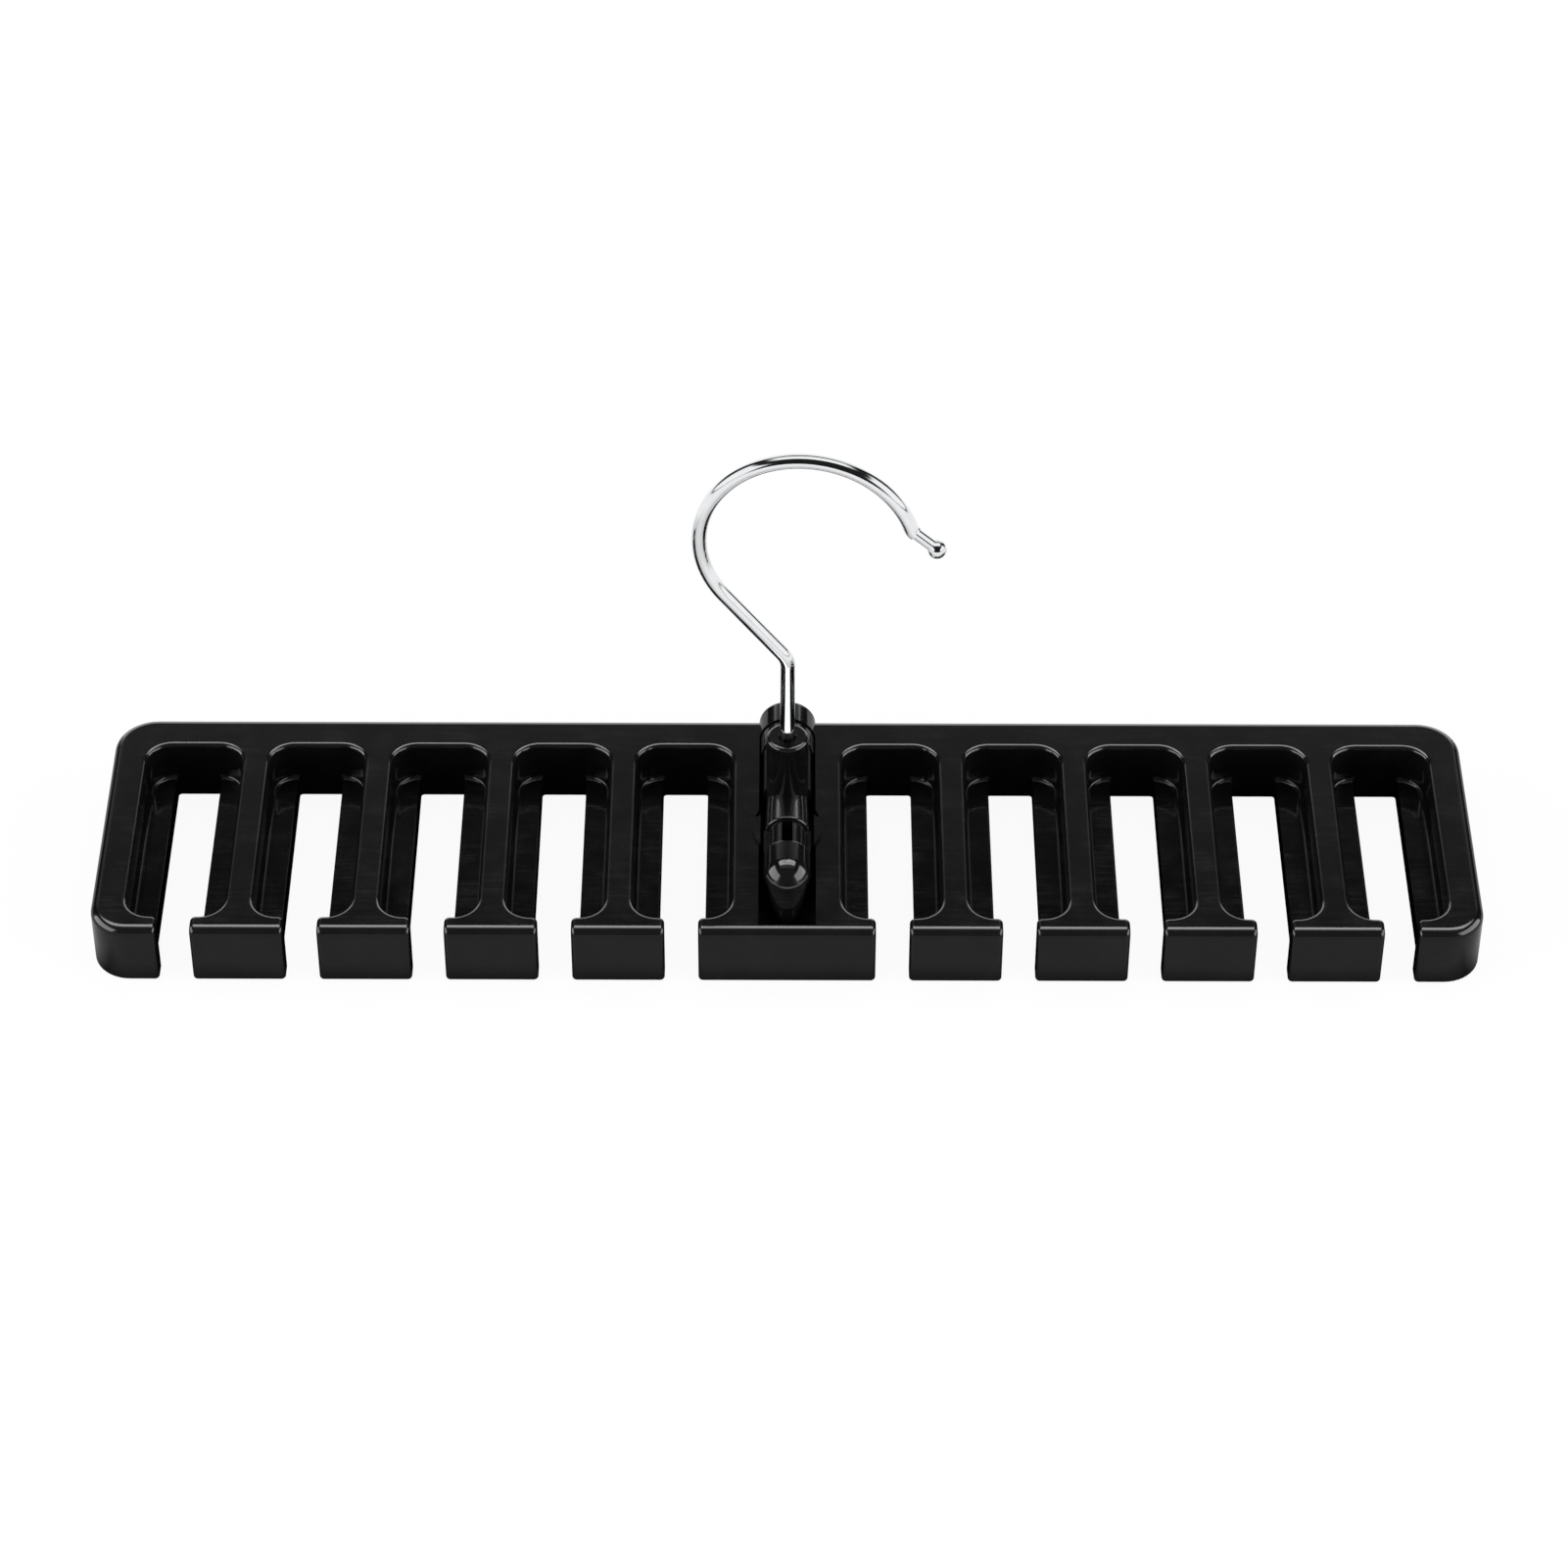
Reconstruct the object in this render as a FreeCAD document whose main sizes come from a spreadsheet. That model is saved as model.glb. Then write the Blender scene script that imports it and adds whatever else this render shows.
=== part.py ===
import FreeCAD, Part
import math
import os
import re

import Sketcher

# Tie hanger: a moulded comb whose open slots take ties, hung from a wire hook.
# The hook swivels in the boss of a small block, and the block tips sideways in
# a trough along the middle of the comb.
# Millimetres. X runs along the comb, Y from its open front to its back rail and
# Z up. The origin is the middle of the comb, on its underside.

SIZES = (
    # Comb: the row of slots
    ("slots_per_side", 5, "slots on each side of the middle"),
    ("slot_pitch", 30.0, "one slot to the next"),
    ("slot_first", 25.0, "middle of the comb to the first slot"),
    ("mouth_width", 8.0, "gap between two front blocks"),
    ("slot_width", 11.0, "slot between two ledges"),
    ("slot_corner", 0.8, "rear corners of a slot"),
    ("end_bar", 16.0, "front face of an end bar"),
    # Comb: the section of a finger
    ("comb_depth", 76.0, "front face to back edge"),
    ("comb_height", 16.3, "underside to top"),
    ("front_wall", 5.3, "thickness of a front block"),
    ("rail_width", 9.9, "thickness of the back rail"),
    ("rib_width", 6.6, "upright rib of a finger"),
    ("ledge_height", 5.65, "underside to the top of a ledge"),
    ("shell_wall", 2.0, "wall left round the hollows underneath"),
    # Comb: rounded corners and edges
    ("rear_corner", 10.0, "rear corners of the comb"),
    ("front_corner", 9.0, "front corners of the comb"),
    ("pocket_corner", 6.0, "corners between rib, block and rail"),
    ("block_corner", 1.25, "rear corners of a front block"),
    ("corner_flat", 0.3, "least straight edge between two corners"),
    ("outer_round", 2.1, "top edge round the outside"),
    ("edge_round", 1.1, "edges of the pockets and mouths"),
    ("foot_round", 1.25, "foot of a rib on its ledge"),
    ("ledge_round", 0.45, "edge of a ledge beside its slot"),
    ("under_round", 0.8, "lower edge round the outside and the mouths"),
    # Pivot: where the block lies in the comb
    ("axis_drop", 0.4, "top of the comb to the tilt axis"),
    ("axis_height", "=comb_height - axis_drop", "underside to the tilt axis"),
    ("running_gap", 0.08, "radial room in a bearing"),
    ("end_play", 0.3, "room along the axis at a shoulder"),
    ("trough_radius", 6.85, "half-round trough"),
    ("trough_front", 2.4, "wall left in front of the trough"),
    ("bearing_radius", 6.9, "dome of the rear bearing"),
    ("bearing_length", 7.0, "length of the dome"),
    ("bearing_round", 1.2, "rear edge of the dome"),
    ("bore_depth", 5.5, "blind hole of the rear bearing"),
    ("seat_rise", 1.5, "arms of the front seat above the axis"),
    ("seat_wall", 0.8, "thickness of those arms"),
    ("ear_setback", 7.4, "boss to the back of the ears"),
    ("ear_length", 10.4, "raised ears along the trough"),
    ("ear_lip", 0.4, "ears inside the edge of the trough"),
    ("ear_bulge", 1.85, "widest part of an ear"),
    ("ear_rise", 0.8, "ears above the comb"),
    ("ear_root", 3.5, "ears below the comb's top"),
    ("notch_length", 2.6, "relief behind an ear"),
    ("notch_width", 0.9, "that relief beside the trough"),
    ("notch_depth", 2.0, "depth of that relief"),
    # Hook block
    ("boss_setback", 47.8, "front face to the boss"),
    ("boss_radius", 5.1, "upright boss"),
    ("boss_height", 19.8, "tilt axis to the top of the boss"),
    ("boss_round", 0.9, "top edge of the boss"),
    ("boss_mouth", 0.5, "chamfer where the wire enters"),
    ("journal_radius", 3.9, "rear journal"),
    ("ring_radius", 6.5, "ring against the rear bearing"),
    ("ring_length", 5.5, "length of the ring"),
    ("barrel_radius", 5.9, "barrel behind the boss"),
    ("neck_radius", 5.0, "barrel at the boss, in front"),
    ("rim_reach", 13.4, "boss to the front of the rim"),
    ("rim_radius", 5.5, "rim in front of the neck"),
    ("front_journal", 4.75, "journal in the front seat"),
    ("collar_reach", 21.4, "boss to the rear of the collar"),
    ("collar_length", 6.35, "straight length of the collar"),
    ("collar_radius", 5.7, "collar in front of the seat, and its domed end"),
    ("nose_half", 4.95, "half-width of the nose at the collar"),
    ("nose_length", 13.5, "nose from the start of the dome to its tip"),
    ("nose_top", 1.7, "tilt axis to the flat top of the nose"),
    ("nose_drop", 2.7, "tilt axis to the underside of the nose"),
    ("tip_half", 2.1, "half-width where the nose rounds over"),
    ("tip_length", 1.3, "length that rounds over"),
    ("ring_round", 0.45, "edges of ring, rim and collar"),
    ("window_width", 2.6, "window in the front journal"),
    ("window_depth", 6.0, "depth of that window"),
    ("window_inset", 0.25, "window to the shoulders beside it"),
    # Wire hook
    ("wire_diameter", 3.5, "hook wire"),
    ("hook_turn", 6.0, "how far the hook is turned towards the front"),
    ("stem_top", 41.9, "tilt axis to the first bend"),
    ("stem_bend", 6.0, "radius of the first bend"),
    ("loop_radius", 25.25, "loop, middle of the wire"),
    ("loop_offset", 4.45, "stem to the middle of the loop"),
    ("loop_height", 78.45, "tilt axis to the middle of the loop"),
    ("loop_end_rise", 8.0, "end of the loop above its middle"),
    ("tip_bend", 3.5, "radius of the outward bend"),
    ("tip_reach", 30.2, "middle of the loop to the ball, across"),
    ("tip_rise", 2.1, "middle of the loop to the ball, up"),
    ("tip_neck", 2.7, "thinned end of the wire"),
    ("ball_diameter", 4.5, "ball on the end"),
    # Push nut on the foot of the wire
    ("nut_ceiling", 2.2, "tilt axis to the recess above the nut"),
    ("nut_radius", 3.4, "outside of the nut"),
    ("nut_gap", 0.3, "room round the nut"),
    ("nut_play", 0.1, "room above the nut"),
    ("nut_thickness", 0.9, "thickness of the nut"),
    ("nut_teeth", 6, "teeth that grip the wire"),
    ("tooth_gap", 0.6, "slit between two teeth"),
    ("tooth_length", 0.9, "length of a tooth"),
    ("wire_foot", 0.8, "wire below the nut"),
)

# Places and lengths worked out from the sizes
HALF_WIDTH = "(slot_first + (slots_per_side - 1) * slot_pitch + mouth_width / 2 + end_bar)"
FRONT = "(-comb_depth / 2)"
BACK = "(comb_depth / 2)"
BLOCK_BACK = f"({FRONT} + front_wall)"
RAIL_FACE = f"({BACK} - rail_width)"
POCKET_HALF = "((slot_pitch - rib_width) / 2)"
POCKET_CORNER = f"min(pocket_corner; {POCKET_HALF} - mouth_width / 2 - block_corner - corner_flat)"
FINGER_FIRST = "(slot_first + slot_pitch / 2)"
FINGER_HALF = "((slot_pitch - slot_width) / 2)"
CENTRE_HALF = "(slot_first - slot_width / 2)"
LAST_SLOT = "(slot_first + (slots_per_side - 1) * slot_pitch)"
BOSS_Y = f"({FRONT} + boss_setback)"
BEARING_FACE = f"({BACK} - bearing_length)"
BEARING_REACH = "(comb_depth - bearing_length - boss_setback)"
EAR_FACE = "(trough_radius - ear_lip)"
EAR_BACK = f"({BOSS_Y} - ear_setback)"
EAR_FRONT = f"({EAR_BACK} - ear_length)"
NUT_TOP = "(-nut_ceiling - nut_play)"
WIRE_RADIUS = "(wire_diameter / 2)"

UP = FreeCAD.Vector(0, 0, 1)
ALONG_X = FreeCAD.Vector(1, 0, 0)
SAME = 1e-4
FULL_TURN = 360
QUARTER_TURN = 90
MM3_PER_CM3 = 1000
# Points of a line or arc in a sketch, and the sketch's own origin
START, END, MIDDLE = 1, 2, 3
ORIGIN = (-1, START)

doc = FreeCAD.newDocument("TieHanger")
sheet = doc.addObject("Spreadsheet::Sheet", "Sizes")
for row, (alias, amount, meaning) in enumerate(SIZES, start=1):
    sheet.set(f"A{row}", meaning)
    sheet.set(f"B{row}", str(amount))
    sheet.setAlias(f"B{row}", alias)
doc.recompute()

SIZE_NAME = re.compile(r"\b(" + "|".join(size[0] for size in SIZES) + r")\b")


def tie(formula):
    """Writes a formula of size names as an expression on the sheet."""
    return SIZE_NAME.sub(r"Sizes.\1", formula)


def amount_of(formula):
    """Works out a formula of size names with the sheet's present values."""
    result = sheet.evalExpression(tie(formula))
    return float(getattr(result, "Value", result))


def point_of(place):
    """Turns a pair of formulas into a point of a sketch."""
    return FreeCAD.Vector(amount_of(place[0]), amount_of(place[1]), 0)


# Sketches


def origin_feature(body, role):
    """Finds a body's own base plane or axis by its role."""
    return next(item for item in body.Origin.OriginFeatures if item.Role == role)


def sketch_on(body, name, role, at="0"):
    """Starts a sketch on a base plane, shifted along the frame axis square to it."""
    sketch = body.newObject("Sketcher::SketchObject", name)
    sketch.AttachmentSupport = (origin_feature(body, role), [""])
    sketch.MapMode = "FlatFace"
    sign = "-" if role == "XZ_Plane" else ""
    sketch.setExpression("AttachmentOffset.Base.z", tie(f"{sign}({at})"))
    return sketch


def fix(sketch, kind, *where, to):
    """Adds a dimension to a sketch and ties it to a formula."""
    index = sketch.addConstraint(Sketcher.Constraint(kind, *where, amount_of(to)))
    sketch.setExpression(f"Constraints[{index}]", tie(to))


def fix_point(sketch, geometry, end, place):
    """Holds one end of a line or arc at a pair of formulas from the sketch's origin."""
    fix(sketch, "DistanceX", *ORIGIN, geometry, end, to=place[0])
    fix(sketch, "DistanceY", *ORIGIN, geometry, end, to=place[1])


def arc_between(start, end, radius, left):
    """Makes an arc under a half turn between two points, bending left or right."""
    chord = end - start
    rise = math.sqrt(max(radius ** 2 - chord.Length ** 2 / 4, 0.0))
    side = FreeCAD.Vector(-chord.y, chord.x, 0).normalize()
    centre = start + chord / 2 + side * (rise if left else -rise)
    first, last = (start, end) if left else (end, start)
    angles = [math.atan2(p.y - centre.y, p.x - centre.x) for p in (first, last)]
    return Part.ArcOfCircle(Part.Circle(centre, UP, radius), *angles)


def outline(sketch, places, arcs=None):
    """Draws a closed outline of lines and arcs, with every corner and radius tied.

    places holds pairs of formulas; arcs maps the number of a stretch to its
    radius and to "left" or "right", the way it bends.
    """
    arcs = arcs or {}
    points = [point_of(place) for place in places]
    pieces = []
    for number, start in enumerate(points):
        end = points[(number + 1) % len(points)]
        if number in arcs:
            radius, way = arcs[number]
            shape = arc_between(start, end, amount_of(radius), way == "left")
            ends = (START, END) if way == "left" else (END, START)
        else:
            shape = Part.LineSegment(start, end)
            ends = (START, END)
        pieces.append((sketch.addGeometry(shape, False), ends))
    for number, (geometry, ends) in enumerate(pieces):
        following, following_ends = pieces[(number + 1) % len(pieces)]
        joint = Sketcher.Constraint("Coincident", geometry, ends[1], following, following_ends[0])
        sketch.addConstraint(joint)
        fix_point(sketch, geometry, ends[0], places[number])
        if number in arcs:
            fix(sketch, "Radius", geometry, to=arcs[number][0])


def box_outline(sketch, left, right, low, high, round_low=None, round_high=None):
    """Draws a rectangle whose two low and two high corners may be rounded."""
    places = []
    arcs = {}
    corners = (
        (left, low, "+", "+", round_low),
        (right, low, "-", "+", round_low),
        (right, high, "-", "-", round_high),
        (left, high, "+", "-", round_high),
    )
    for number, (x, y, x_way, y_way, radius) in enumerate(corners):
        if radius is None:
            places.append((x, y))
            continue
        along_x = (f"{x} {x_way} {radius}", y)
        along_y = (x, f"{y} {y_way} {radius}")
        arcs[len(places)] = (radius, "left")
        places += [along_y, along_x] if number % 2 == 0 else [along_x, along_y]
    outline(sketch, places, arcs)


def circle_at(sketch, place, radius):
    """Draws a circle with its middle and radius tied."""
    geometry = sketch.addGeometry(Part.Circle(point_of(place), UP, amount_of(radius)), False)
    fix_point(sketch, geometry, MIDDLE, place)
    fix(sketch, "Radius", geometry, to=radius)


# Features


def new_body(label):
    """Starts a sub-part."""
    body = doc.addObject("PartDesign::Body", label)
    body.Label = label
    return body


def add_feature(body, kind, name, profile, length, reverse):
    """Adds a pad or pocket of a sketch, works it out and returns it."""
    feature = body.newObject(f"PartDesign::{kind}", name)
    feature.Profile = profile
    feature.Type = "Length"
    feature.setExpression("Length", tie(length))
    feature.Reversed = reverse
    doc.recompute()
    return feature


def pad(body, name, profile, length, reverse=False):
    """Adds material along the sketch's normal, or against it."""
    return add_feature(body, "Pad", name, profile, length, reverse)


def pocket(body, name, profile, length, reverse=False):
    """Cuts against the sketch's normal, or along it, and sees that it does cut."""
    before = body.Shape.Volume
    feature = add_feature(body, "Pocket", name, profile, length, reverse)
    if body.Shape.Volume > before - SAME:
        raise RuntimeError(f"{name} cuts nothing")
    return feature


def revolve(body, name, profile, axis):
    """Turns a sketch once round an axis."""
    feature = body.newObject("PartDesign::Revolution", name)
    feature.Profile = profile
    feature.ReferenceAxis = axis
    feature.Angle = FULL_TURN
    doc.recompute()
    return feature


def repeat_along(body, name, originals, count, reverse):
    """Repeats cuts along X at the slots' pitch."""
    pattern = body.newObject("PartDesign::LinearPattern", name)
    pattern.Originals = originals
    pattern.Direction = (origin_feature(body, "X_Axis"), [""])
    pattern.Reversed = reverse
    pattern.setExpression("Length", tie(f"slot_pitch * ({count} - 1)"))
    pattern.setExpression("Occurrences", tie(count))
    body.Tip = pattern
    doc.recompute()


def dress_edges(body, kind, name, size, chosen):
    """Rounds or chamfers the edges of a body that a test picks out."""
    base = body.Tip
    edges = enumerate(base.Shape.Edges, start=1)
    names = [f"Edge{number}" for number, edge in edges if chosen(edge)]
    if not names:
        raise RuntimeError(f"{name} finds no edge")
    feature = body.newObject(f"PartDesign::{kind}", name)
    feature.Base = (base, names)
    feature.setExpression("Radius" if kind == "Fillet" else "Size", tie(size))
    doc.recompute()


def level_at(edge, height):
    """Says whether an edge lies flat at a height."""
    box = edge.BoundBox
    return abs(box.ZMin - height) < SAME and abs(box.ZMax - height) < SAME


def circle_round_y(edge):
    """Says whether an edge is a whole circle round the Y axis."""
    if edge.Degenerated:
        return False
    curve = edge.Curve
    return isinstance(curve, Part.Circle) and edge.isClosed() and abs(curve.Axis.y) > 1 - SAME


# Comb rack: blank

comb = new_body("comb_rack")

sketch = sketch_on(comb, "CombOutline", "XY_Plane")
box_outline(sketch, f"-{HALF_WIDTH}", HALF_WIDTH, FRONT, BACK, "front_corner", "rear_corner")
pad(comb, "Blank", sketch, "comb_height")
top = amount_of("comb_height")
dress_edges(comb, "Fillet", "OuterRound", "outer_round", lambda edge: level_at(edge, top))

# Comb rack: trough, ears, front seat and rear bearing

sketch = sketch_on(comb, "TroughOutline", "XZ_Plane", f"{FRONT} + trough_front")
circle_at(sketch, ("0", "axis_height"), "trough_radius")
pocket(comb, "Trough", sketch, f"{BEARING_FACE} - {FRONT} - trough_front")

ear_radius = "((ear_length / 2) ^ 2 + ear_bulge ^ 2) / (2 * ear_bulge)"
sketch = sketch_on(comb, "EarOutline", "XY_Plane", "comb_height + ear_rise")
outline(sketch, ((EAR_FACE, EAR_FRONT), (EAR_FACE, EAR_BACK)), {0: (ear_radius, "left")})
outline(sketch, ((f"-{EAR_FACE}", EAR_FRONT), (f"-{EAR_FACE}", EAR_BACK)), {0: (ear_radius, "right")})
pad(comb, "Ears", sketch, "ear_rise + ear_root", reverse=True)

sketch = sketch_on(comb, "NotchOutline", "XY_Plane", "comb_height")
for way in ("", "-"):
    outline(sketch, (
        (f"{way}(trough_radius - running_gap)", EAR_BACK),
        (f"{way}(trough_radius + notch_width)", EAR_BACK),
        (f"{way}(trough_radius - running_gap)", f"{EAR_BACK} + notch_length"),
    ))
pocket(comb, "Notches", sketch, "notch_depth")

seat_front = f"({BOSS_Y} - collar_reach + end_play)"
seat_length = "(collar_reach - rim_reach - 2 * end_play)"
seat_half = "(front_journal + running_gap + seat_wall)"
sketch = sketch_on(comb, "SeatOutline", "XZ_Plane", seat_front)
box_outline(sketch, f"-{seat_half}", seat_half, "axis_height - trough_radius", "axis_height + seat_rise")
pad(comb, "Seat", sketch, seat_length, reverse=True)

sketch = sketch_on(comb, "SeatBoreOutline", "XZ_Plane", seat_front)
circle_at(sketch, ("0", "axis_height"), "front_journal + running_gap")
pocket(comb, "SeatBore", sketch, seat_length)

sketch = sketch_on(comb, "BearingOutline", "YZ_Plane")
outline(sketch, (
    (BEARING_FACE, "axis_height"),
    (BACK, "axis_height"),
    (BACK, "axis_height + bearing_radius - bearing_round"),
    (f"{BACK} - bearing_round", "axis_height + bearing_radius"),
    (BEARING_FACE, "axis_height + bearing_radius"),
), {2: ("bearing_round", "left")})
axis_line = Part.LineSegment(point_of((BEARING_FACE, "axis_height")), point_of((BACK, "axis_height")))
axis_number = sketch.addGeometry(axis_line, True)
fix_point(sketch, axis_number, START, (BEARING_FACE, "axis_height"))
fix_point(sketch, axis_number, END, (BACK, "axis_height"))
revolve(comb, "RearBearing", sketch, (sketch, ["Axis0"]))

sketch = sketch_on(comb, "BearingBoreOutline", "XZ_Plane", BEARING_FACE)
circle_at(sketch, ("0", "axis_height"), "journal_radius + running_gap")
pocket(comb, "BearingBore", sketch, "bore_depth")

# Comb rack: hollows underneath

for side, sign in (("Right", ""), ("Left", "-")):
    finger = f"({sign}{FINGER_FIRST})"
    sketch = sketch_on(comb, f"FingerHollow{side}Outline", "XY_Plane")
    box_outline(sketch, f"{finger} - {FINGER_HALF} + shell_wall", f"{finger} + {FINGER_HALF} - shell_wall",
                BLOCK_BACK, RAIL_FACE)
    hollow = pocket(comb, f"FingerHollow{side}", sketch, "ledge_height - shell_wall", reverse=True)
    sketch = sketch_on(comb, f"RibHollow{side}Outline", "XY_Plane")
    box_outline(sketch, f"{finger} - rib_width / 2 + shell_wall", f"{finger} + rib_width / 2 - shell_wall",
                BLOCK_BACK, RAIL_FACE)
    rib_hollow = pocket(comb, f"RibHollow{side}", sketch, "comb_height - shell_wall", reverse=True)
    repeat_along(comb, f"FingerHollows{side}", [hollow, rib_hollow], "(slots_per_side - 1)", side == "Left")

    first = f"({sign}slot_first)"
    sketch = sketch_on(comb, f"RailHollow{side}Outline", "XY_Plane")
    box_outline(sketch, f"{first} - {POCKET_HALF}", f"{first} + {POCKET_HALF}",
                f"{RAIL_FACE} + shell_wall", f"{BACK} - shell_wall")
    hollow = pocket(comb, f"RailHollow{side}", sketch, "comb_height - outer_round - shell_wall", reverse=True)
    repeat_along(comb, f"RailHollows{side}", [hollow], "slots_per_side", side == "Left")

sketch = sketch_on(comb, "EndHollowOutline", "XY_Plane")
for inner, outer in ((f"({LAST_SLOT} + slot_width / 2 + shell_wall)", f"({HALF_WIDTH} - shell_wall)"),
                     (f"(-{HALF_WIDTH} + shell_wall)", f"(-{LAST_SLOT} - slot_width / 2 - shell_wall)")):
    box_outline(sketch, inner, outer, f"{FRONT} + front_corner", RAIL_FACE)
for inner, outer in (("shell_wall / 2", f"{CENTRE_HALF} - shell_wall"),
                     (f"-{CENTRE_HALF} + shell_wall", "-shell_wall / 2")):
    box_outline(sketch, inner, outer, BLOCK_BACK, RAIL_FACE)
pocket(comb, "EndHollows", sketch, "ledge_height - shell_wall", reverse=True)

# Comb rack: pockets, slots and mouths

for side, sign in (("Right", ""), ("Left", "-")):
    first = f"({sign}slot_first)"
    sketch = sketch_on(comb, f"Pocket{side}Outline", "XY_Plane", "comb_height")
    box_outline(sketch, f"{first} - {POCKET_HALF}", f"{first} + {POCKET_HALF}", BLOCK_BACK, RAIL_FACE,
                POCKET_CORNER, POCKET_CORNER)
    cut = pocket(comb, f"Pocket{side}", sketch, "comb_height - ledge_height")
    repeat_along(comb, f"Pockets{side}", [cut], "slots_per_side", side == "Left")

ledge = amount_of("ledge_height")
dress_edges(comb, "Fillet", "FootRound", "foot_round", lambda edge: level_at(edge, ledge))

for side, sign in (("Right", ""), ("Left", "-")):
    first = f"({sign}slot_first)"
    slot_left = f"{first} - slot_width / 2"
    slot_right = f"{first} + slot_width / 2"
    sketch = sketch_on(comb, f"Slot{side}Outline", "XY_Plane", "comb_height")
    box_outline(sketch, slot_left, slot_right, BLOCK_BACK, RAIL_FACE, None, "slot_corner")
    slot = pocket(comb, f"Slot{side}", sketch, "comb_height")

    mouth_left = f"{first} - mouth_width / 2"
    mouth_right = f"{first} + mouth_width / 2"
    sketch = sketch_on(comb, f"Mouth{side}Outline", "XY_Plane", "comb_height")
    outline(sketch, (
        (mouth_left, f"{FRONT} - front_wall"),
        (mouth_right, f"{FRONT} - front_wall"),
        (mouth_right, f"{BLOCK_BACK} - block_corner"),
        (f"{mouth_right} + block_corner", BLOCK_BACK),
        (f"{mouth_right} + block_corner", f"{BLOCK_BACK} + front_wall"),
        (f"{mouth_left} - block_corner", f"{BLOCK_BACK} + front_wall"),
        (f"{mouth_left} - block_corner", BLOCK_BACK),
        (mouth_left, f"{BLOCK_BACK} - block_corner"),
    ), {2: ("block_corner", "right"), 6: ("block_corner", "right")})
    mouth = pocket(comb, f"Mouth{side}", sketch, "comb_height")
    repeat_along(comb, f"Slots{side}", [slot, mouth], "slots_per_side", side == "Left")

for side, sign in (("Right", ""), ("Left", "-")):
    first = f"({sign}slot_first)"
    sketch = sketch_on(comb, f"LedgeRound{side}Outline", "XZ_Plane", f"{BLOCK_BACK} + foot_round")
    for half, way in (("+ slot_width / 2", "+"), ("- slot_width / 2", "-")):
        edge_x = f"{first} {half}"
        outline(sketch, (
            (edge_x, "ledge_height - ledge_round"),
            (edge_x, "ledge_height"),
            (f"{edge_x} {way} ledge_round", "ledge_height"),
        ), {2: ("ledge_round", "left" if way == "+" else "right")})
    cut = pocket(comb, f"LedgeRound{side}", sketch, f"{RAIL_FACE} - {BLOCK_BACK} - 2 * foot_round")
    repeat_along(comb, f"LedgeRounds{side}", [cut], "slots_per_side", side == "Left")

rail_face = amount_of(RAIL_FACE)
dress_edges(comb, "Fillet", "EdgeRound", "edge_round",
            lambda edge: level_at(edge, top)
            and abs(edge.BoundBox.YMin - rail_face) < SAME
            and abs(edge.BoundBox.YMax - rail_face) < SAME)
front = amount_of(FRONT)
dress_edges(comb, "Fillet", "UnderRound", "under_round",
            lambda edge: level_at(edge, 0) and abs(edge.BoundBox.YMax - front) < SAME)

# Hook block: turned barrel, nose, boss, wire bore, nut recess and window

block = new_body("hook_block")
ring_back = f"({BEARING_REACH} - end_play)"
ring_front = f"({ring_back} - ring_length)"
journal_end = f"({ring_back} + bore_depth)"
collar_front = "(-collar_reach - collar_length)"

sketch = sketch_on(block, "BarrelOutline", "YZ_Plane")
outline(sketch, (
    (f"{collar_front} - collar_radius", "0"),
    (journal_end, "0"),
    (journal_end, "journal_radius"),
    (ring_back, "journal_radius"),
    (ring_back, "ring_radius"),
    (ring_front, "ring_radius"),
    (ring_front, "barrel_radius"),
    ("0", "barrel_radius"),
    ("0", "neck_radius"),
    ("-rim_reach", "rim_radius"),
    ("-rim_reach", "front_journal"),
    ("-collar_reach", "front_journal"),
    ("-collar_reach", "collar_radius"),
    (collar_front, "collar_radius"),
), {13: ("collar_radius", "left")})
revolve(block, "Barrel", sketch, (origin_feature(block, "Y_Axis"), [""]))
rounded = [point_of(place) for place in ((ring_back, "ring_radius"), (ring_front, "ring_radius"),
                                         ("-rim_reach", "rim_radius"), ("-collar_reach", "collar_radius"))]
dress_edges(block, "Fillet", "RingRound", "ring_round",
            lambda edge: circle_round_y(edge)
            and any(abs(edge.Curve.Center.y - place.x) < SAME and abs(edge.Curve.Radius - place.y) < SAME
                    for place in rounded))

nose_end = f"({collar_front} - nose_length)"
nose_run = "(nose_length - tip_length)"
nose_fall = "(nose_half - tip_half)"
nose_bow = f"({nose_run} ^ 2 + {nose_fall} ^ 2) / (2 * {nose_fall})"
sketch = sketch_on(block, "NoseOutline", "XY_Plane", "nose_top")
outline(sketch, (
    ("nose_half", collar_front),
    ("-nose_half", collar_front),
    ("-tip_half", f"{nose_end} + tip_length"),
    ("tip_half", f"{nose_end} + tip_length"),
), {
    1: (nose_bow, "left"),
    2: ("(tip_length ^ 2 + tip_half ^ 2) / (2 * tip_length)", "left"),
    3: (nose_bow, "left"),
})
pad(block, "Nose", sketch, "nose_top + nose_drop", reverse=True)

sketch = sketch_on(block, "BossOutline", "XY_Plane")
circle_at(sketch, ("0", "0"), "boss_radius")
pad(block, "Boss", sketch, "boss_height")
boss_top = amount_of("boss_height")
dress_edges(block, "Fillet", "BossRound", "boss_round", lambda edge: level_at(edge, boss_top))

sketch = sketch_on(block, "WireBoreOutline", "XY_Plane", "boss_height")
circle_at(sketch, ("0", "0"), f"{WIRE_RADIUS} + running_gap")
pocket(block, "WireBore", sketch, "boss_height + barrel_radius")
bore_radius = amount_of(f"{WIRE_RADIUS} + running_gap")
dress_edges(block, "Chamfer", "WireMouth", "boss_mouth",
            lambda edge: level_at(edge, boss_top) and abs(edge.Curve.Radius - bore_radius) < SAME)

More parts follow.
